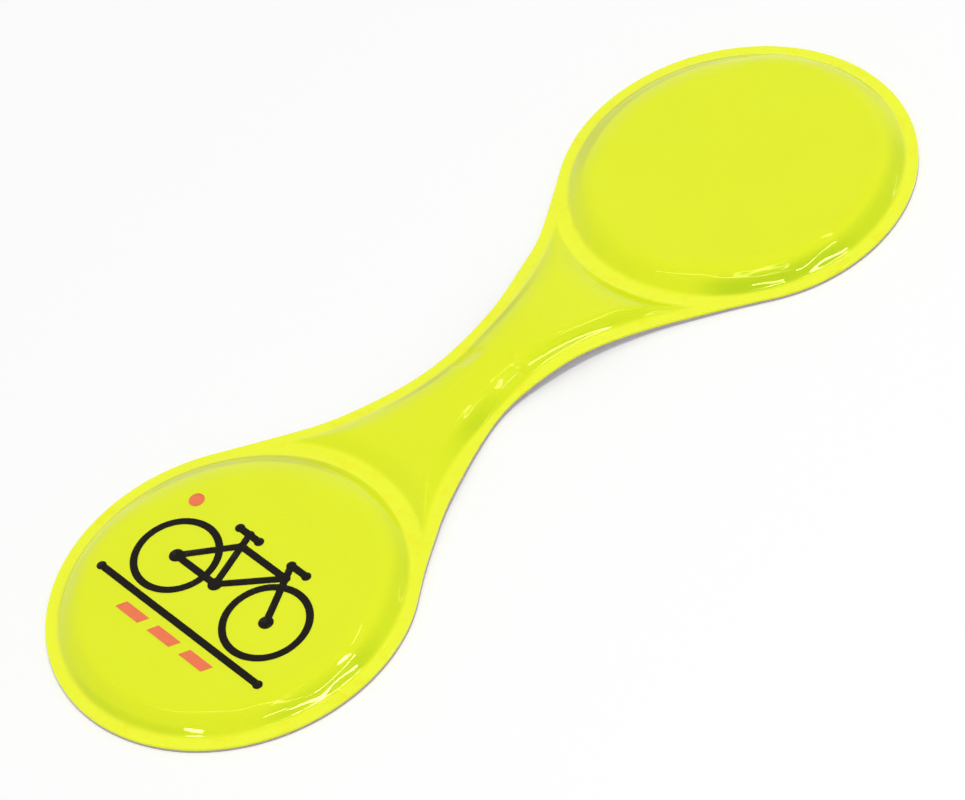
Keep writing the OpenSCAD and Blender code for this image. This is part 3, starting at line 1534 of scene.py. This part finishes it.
@dataclass(frozen=True)
class Studio:
    """Pale floor, white surroundings and soft lamps.

    Attributes:
        ambient: Light of the surroundings on the clip.
        floor_colour: Colour of the floor.
        floor_lift: White added to the floor as background.
        floor_size: Size of the floor.
        floor_drop: Distance of the floor below the clip.
        lamps: The soft lamps.
    """

    ambient: float = 0.56
    floor_colour: float = 0.9
    floor_lift: float = 0.17
    floor_size: float = 6
    floor_drop: float = 0.02 * MM
    lamps: Sequence[Strip] = field(
        default_factory=lambda: (
            Strip(275, 72, 0, length=0.2, height=0.2, radiance=41.5, duty=Duty.LIGHT),
            Strip(275, 44, -6, length=0.78, height=0.05, radiance=40),
            Strip(240, 48, 0, length=0.3, height=0.03, radiance=24),
            Strip(289, 57.5, 0, length=0.52, height=0.014, radiance=60),
            Strip(195, 75, 11.4, length=1.3, height=0.03, radiance=7),
            Strip(192, 40, 0, length=0.14, height=0.07, radiance=40),
            Strip(0, 66, 0, length=0.45, height=0.025, radiance=10),
            Strip(255, 71, 0, length=0.3, height=0.02, radiance=9),
            Strip(340, 18, 0, length=0.4, height=0.02, radiance=4),
        )
    )

    def world(self) -> None:
        """Make the surroundings: white to look at and in the gloss, dimmer as light."""
        world = bpy.data.worlds.new("white_studio")
        world.use_nodes = True
        bpy.context.scene.world = world
        nodes = Nodes(world.node_tree)
        strength = self.ambient + (1 - self.ambient) * nodes.seen()
        light = nodes.node("ShaderNodeBackground", sockets={"Color": WHITE, "Strength": strength})
        nodes.node("ShaderNodeOutputWorld", sockets={"Surface": light})

    def floor(self) -> None:
        """Make the floor, which keeps the clip's shadow."""
        bpy.ops.object.select_all(action="DESELECT")
        bpy.ops.mesh.primitive_plane_add(size=self.floor_size, location=(0, 0, -self.floor_drop))
        floor = bpy.context.object
        floor.name = "floor"
        material, nodes = new_material("pale_floor")
        paper = nodes.node("ShaderNodeBsdfDiffuse", sockets={"Color": (self.floor_colour,) * 3})
        lift = self.floor_lift * nodes.seen()
        white = nodes.node("ShaderNodeEmission", sockets={"Color": WHITE, "Strength": lift})
        both = nodes.node("ShaderNodeAddShader", sockets={0: paper, 1: white})
        nodes.node("ShaderNodeOutputMaterial", sockets={"Surface": both})
        floor.data.materials.append(material)

    def build(self) -> None:
        """Make the whole studio."""
        self.world()
        self.floor()
        for number, lamp in enumerate(self.lamps, 1):
            lamp.build(f"soft_lamp_{number}")
        bpy.context.scene.view_settings.view_transform = "Standard"


def own(piece: Piece, material: Material, slot: Slot, *nodes: str) -> None:
    """Dress a finished piece, hang it on the root body and hide the CAD nodes that it replaces.

    Args:
        piece: The finished piece.
        material: Its material.
        slot: Slot of the record that matches its finish; it is not used.
        nodes: CAD nodes that it replaces.
    """
    piece.data.materials.clear()
    piece.data.materials.append(material)
    only(piece)
    bpy.ops.object.shade_smooth_by_angle(angle=SMOOTH_EDGE)
    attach(piece, "root")
    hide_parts(*nodes)
    log.info("%s: %d faces", piece.name, len(piece.data.polygons))


def measure_form() -> FilmForm:
    """Work out the films' form from the frame.

    Returns:
        The form, with the lobes and thicknesses of the CAD nodes.
    """
    _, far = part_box("back_film")
    _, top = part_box("front_film")
    plan = ClipPlan(lobe_r=far.y, lobe_x=far.x - far.y)
    weld_t = 0.4 * MM
    return FilmForm(
        plan=plan,
        back_t=far.z,
        weld_t=weld_t,
        lobe=Shoulder(height=top.z - far.z - weld_t, steep=1.2, crest=2.4 * MM),
        waist=Shoulder(height=1.2 * MM, steep=1.0, crest=1.4 * MM, foot=0.16 * MM),
        pinches=(
            Pinch(-1, *mm(-0.4, 2.7, 2.8, 0.8, 1.1), depth=0.75),
            Pinch(1, *mm(-0.9, 1.8, 2.4, 0.8, 1.0), depth=0.7),
        ),
        creases=(
            Crease(mm(1.5, -3.9), mm(3.0, -0.9), *mm(0.07, 0.28)),
            Crease(mm(2.3, -3.6), mm(3.8, -1.2), *mm(-0.05, 0.35)),
            Crease(mm(-2.9, -4.2), mm(-1.3, -3.7), *mm(0.10, 0.18)),
            Crease(mm(-1.6, -3.4), mm(-0.6, -2.6), *mm(0.06, 0.18)),
            Crease(mm(-8.4, -4.0), mm(-3.0, -3.0), *mm(0.06, 0.32)),
            Crease(mm(-6.0, -5.1), mm(-4.0, -4.5), *mm(0.05, 0.25)),
            Crease(mm(0.2, 3.9), mm(2.4, 3.1), *mm(-0.09, 0.32)),
            Crease(mm(-17.4, 4.5), mm(-16.6, -5.5), *mm(0.04, 0.4)),
            Crease(mm(26.3, -4.6), mm(27.8, -9.4), *mm(0.055, 0.28)),
            Crease(mm(21.2, 1.4), mm(21.8, -4.0), *mm(0.05, 0.3)),
            Crease(mm(30.2, -8.9), mm(31.0, -10.1), *mm(0.03, 0.25)),
        ),
        # Painted shade: darker green bands on the lobes' near shoulders and along the waist's near edge.
        green_painted_shades=(
            Band(Side.PLAIN, 240, 34, 2.6 * MM, soft=0.6, depth=0.9),
            Band(Side.PLAIN, 292, 40, 2.6 * MM, soft=0.6, depth=0.45),
            Band(Side.PRINTED, 262, 28, 2.4 * MM, soft=0.6, depth=0.5),
            Band(Side.PRINTED, 300, 34, 2.4 * MM, soft=0.6, depth=0.3),
            Band(Side.PRINTED, 192, 34, 1.2 * MM, soft=0.5, depth=0.3),
            RimBand(-1, *mm(-6.5, 4, 0.3, 1, 2.4), depth=0.55),
            RimBand(-1, *mm(12, 8, 0.3, 1, 2.4), depth=0.4),
        ),
        # Painted shade: olive bands on the lobes' far and right shoulders and along the waist's far edge.
        olive_painted_shades=(
            Band(Side.PLAIN, 84, 60, 2.7 * MM, soft=0.25, depth=0.72),
            Band(Side.PLAIN, 10, 40, 2.2 * MM, soft=0.4, depth=0.25),
            Band(Side.PRINTED, 46, 52, 2.4 * MM, soft=0.25, depth=0.8),
            Band(Side.PRINTED, -20, 30, 1.8 * MM, soft=0.5, depth=0.2),
            RimBand(1, *mm(7, 6, 0.15, 0.7, 1.5), depth=1),
            RimBand(1, *mm(-6, 4, 0.15, 0.7, 1.5), depth=1),
        ),
        slacks=(
            Slack(Side.PLAIN, 80, 60, 0.32),
            Slack(Side.PRINTED, 45, 60, 0.32),
        ),
        stretches=(
            Stretch(-1, *mm(-25, 4, -0.3)),
            Stretch(-1, *mm(-14, 4.5, 0.28)),
            Stretch(-1, *mm(-2.5, 5.5, -0.78)),
            Stretch(-1, *mm(25, 6, -0.35)),
            Stretch(1, *mm(-12, 5, 0.2)),
            Stretch(1, *mm(13.5, 5, 0.62)),
        ),
        furrows=(
            Furrows(-1, *mm(6.5, 5.0, 3.7, 0.8, 0.62, 0.018)),
            Furrows(-1, *mm(-6, 3.5, 3.8, 0.8, 1.1, 0.025)),
        ),
        ripples=(
            Ripple(Side.PLAIN, 238, 22, *mm(18.1, 1.6, 1.7, 0.045)),
            Ripple(Side.PLAIN, 275, 26, *mm(19.0, 1.0, 1.5, 0.03)),
            Ripple(Side.PRINTED, 262, 20, *mm(18.2, 1.4, 1.6, 0.045)),
            Ripple(Side.PRINTED, 186, 22, *mm(18.1, 1.5, 1.8, 0.04)),
            Puckers(Side.PLAIN, *mm(19.3, 0.9, 0.06), shift=0),
            Puckers(Side.PRINTED, *mm(19.3, 0.9, 0.06), shift=47),
        ),
    )


def main() -> None:
    """Build the clip and its studio."""
    logging.basicConfig(level=logging.INFO, format="%(name)s: %(message)s")
    form = measure_form()
    PhotoCamera().build()
    Studio().build()

    films = Films(form)
    own(films.front(), PrismFilm().material(), Slot.YELLOW_FILM, "front_film")
    own(films.back(), GreyFilm().material(), Slot.GREY_FILM, "back_film")

    ink = Print(form)
    black = Ink("black_screen_ink", (0.007, 0.005, 0.002))
    coral = Ink("coral_screen_ink", (0.95, 0.22, 0.10), 0.36)
    own(ink.lay("print_black", "bicycle_print"), black.material(), Slot.BLACK_INK, "print_black")
    own(ink.lay("print_coral", "road_print"), coral.material(), Slot.CORAL_INK, "print_coral")

    plating = Plating().material()
    for node in ("magnet_printed_end", "magnet_plain_end"):
        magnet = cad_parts[node]
        magnet.data.materials.clear()
        magnet.data.materials.append(plating)
        log.info("%s: plated", node)


if __name__ == "__main__":
    main()
